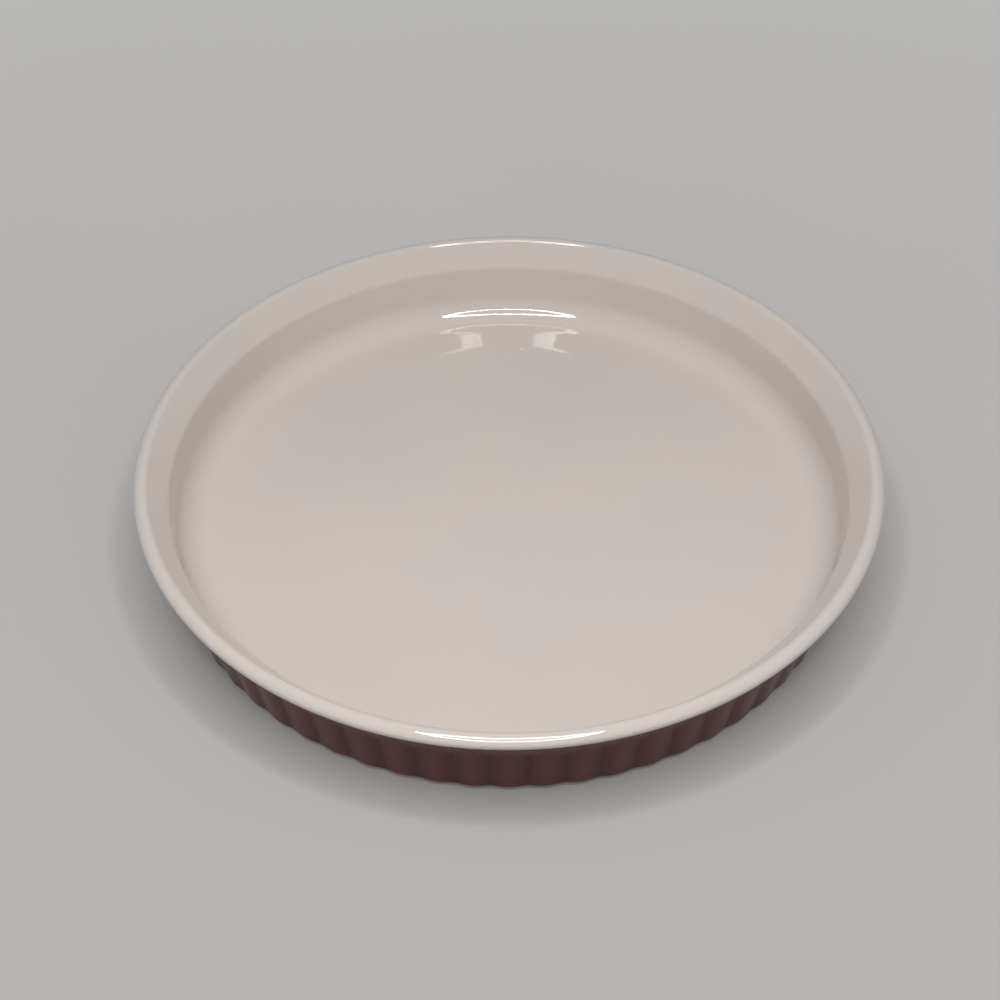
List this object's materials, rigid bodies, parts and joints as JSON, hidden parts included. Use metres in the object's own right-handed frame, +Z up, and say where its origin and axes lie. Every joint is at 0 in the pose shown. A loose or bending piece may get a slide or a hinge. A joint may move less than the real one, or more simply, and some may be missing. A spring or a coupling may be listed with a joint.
{
  "type": "round baking dish",
  "caption": "Shallow round baking dish with a fluted outer wall, flared rounded rim, coved flat floor and low foot ring, glazed white inside and rose outside.",
  "frame": {"origin": "on the table, under the middle of the foot ring", "axes": "+Z up along the axis of the dish, -Y towards the viewer of the picture, +X to the right"},
  "size_m": [0.254, 0.254, 0.0375],
  "materials": {
    "bare_stoneware": "matte, unglazed",
    "white_glaze": "gloss",
    "rose_glaze": "gloss"
  },
  "bodies": {
    "root": {"stoneware_body": "bare_stoneware", "inside_glaze": "white_glaze", "outside_glaze": "rose_glaze", "underside_glaze": "rose_glaze"}
  },
  "joints": []
}
